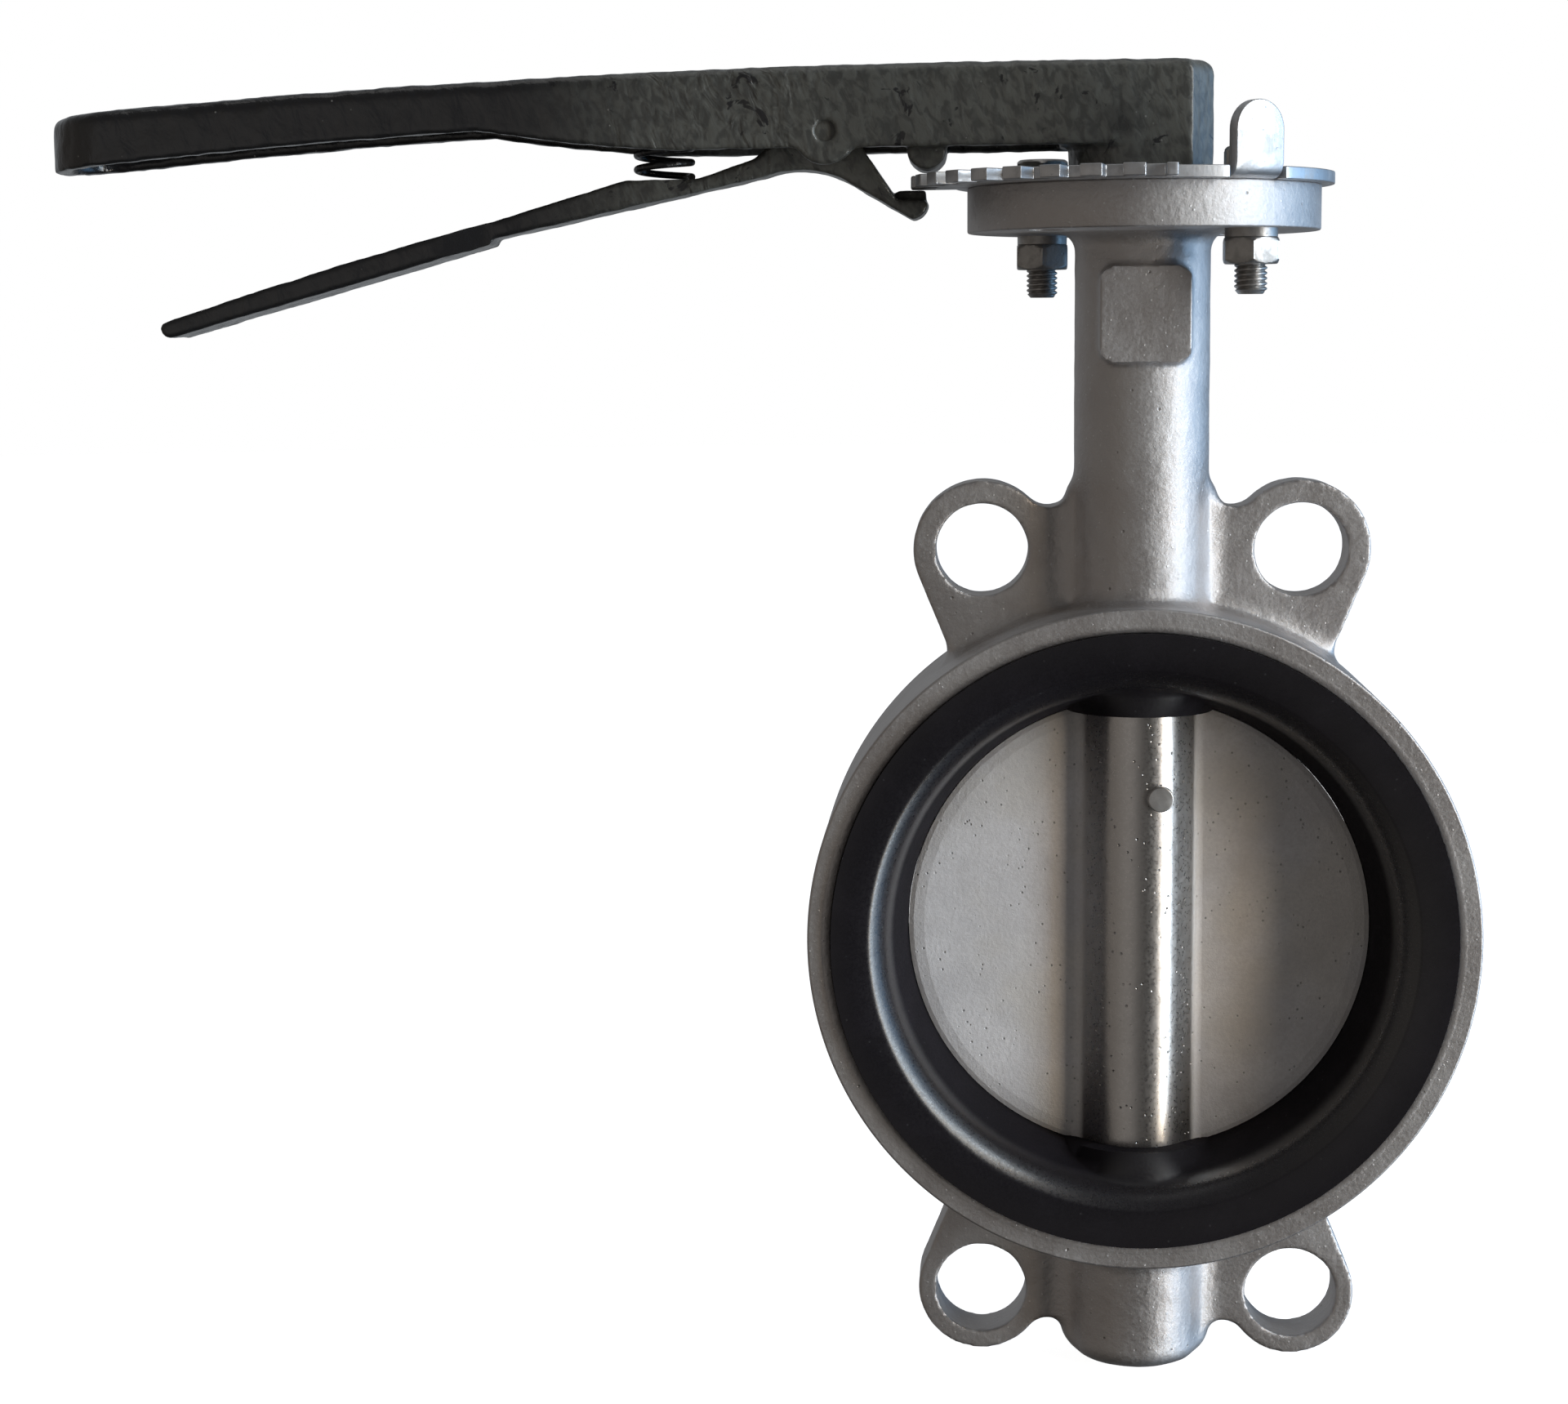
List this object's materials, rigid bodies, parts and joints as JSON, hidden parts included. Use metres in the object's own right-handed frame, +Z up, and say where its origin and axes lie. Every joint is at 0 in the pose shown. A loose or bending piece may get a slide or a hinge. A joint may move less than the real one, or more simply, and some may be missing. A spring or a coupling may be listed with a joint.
{
  "type": "wafer butterfly valve with latching lever",
  "caption": "Wafer butterfly valve with a rubber-lined ring, a quarter-turn disc, centring ears, a notch plate and a latching hand lever with a squeeze trigger.",
  "frame": {"origin": "where the pipe axis meets the stem axis, at the centre of the disc", "axes": "Y along the pipe, -Y towards the front face; +Z up the stem; the closed lever points along -X"},
  "size_m": [0.361, 0.1054, 0.3326],
  "materials": {
    "cast_stainless": "satin cast stainless, machined faces",
    "disc_stainless": "fine-grained cast stainless, polished hub",
    "turned_steel": "turned stainless",
    "bright_plate": "bright plate steel",
    "bright_fastener": "bright stainless fastener",
    "seat_rubber": "black satin rubber",
    "bearing_bronze": "plain bearing bronze",
    "black_enamel": "glossy black enamel on rough casting",
    "black_spring": "blackened spring wire"
  },
  "bodies": {
    "valve_body": {"body": "cast_stainless", "seat_liner": "seat_rubber", "upper_bushing": "bearing_bronze", "middle_bushing": "bearing_bronze", "lower_bushing": "bearing_bronze", "upper_o_ring": "seat_rubber", "lower_o_ring": "seat_rubber", "thrust_washer": "turned_steel", "retaining_ring": "turned_steel", "notch_plate": "bright_plate", "plate_bolt_left": "bright_fastener", "plate_bolt_right": "bright_fastener", "spring_washer_left": "bright_fastener", "spring_washer_right": "bright_fastener", "plate_nut_left": "bright_fastener", "plate_nut_right": "bright_fastener"},
    "lever_assembly": {"disc": "disc_stainless", "stem": "turned_steel", "taper_pin": "turned_steel", "handle": "black_enamel", "clamp_screw": "black_enamel", "trigger_pin": "black_enamel", "trigger_spring": "black_spring"},
    "trigger_lever": {"trigger": "black_enamel"}
  },
  "joints": [
    {"name": "stem_turn", "type": "hinge", "parent": "valve_body", "child": "lever_assembly", "pos_m": [0, 0, 0], "axis": [0, 0, 1], "range_deg": [0, 90]},
    {"name": "trigger_squeeze", "type": "hinge", "parent": "lever_assembly", "child": "trigger_lever", "pos_m": [-0.079, 0, 0.2014], "axis": [0, 1, 0], "range_deg": [-6, 11], "stiffness_Nm_per_rad": 1.5, "springref_deg": -5.96, "deforming": ["trigger_spring"]}
  ]
}
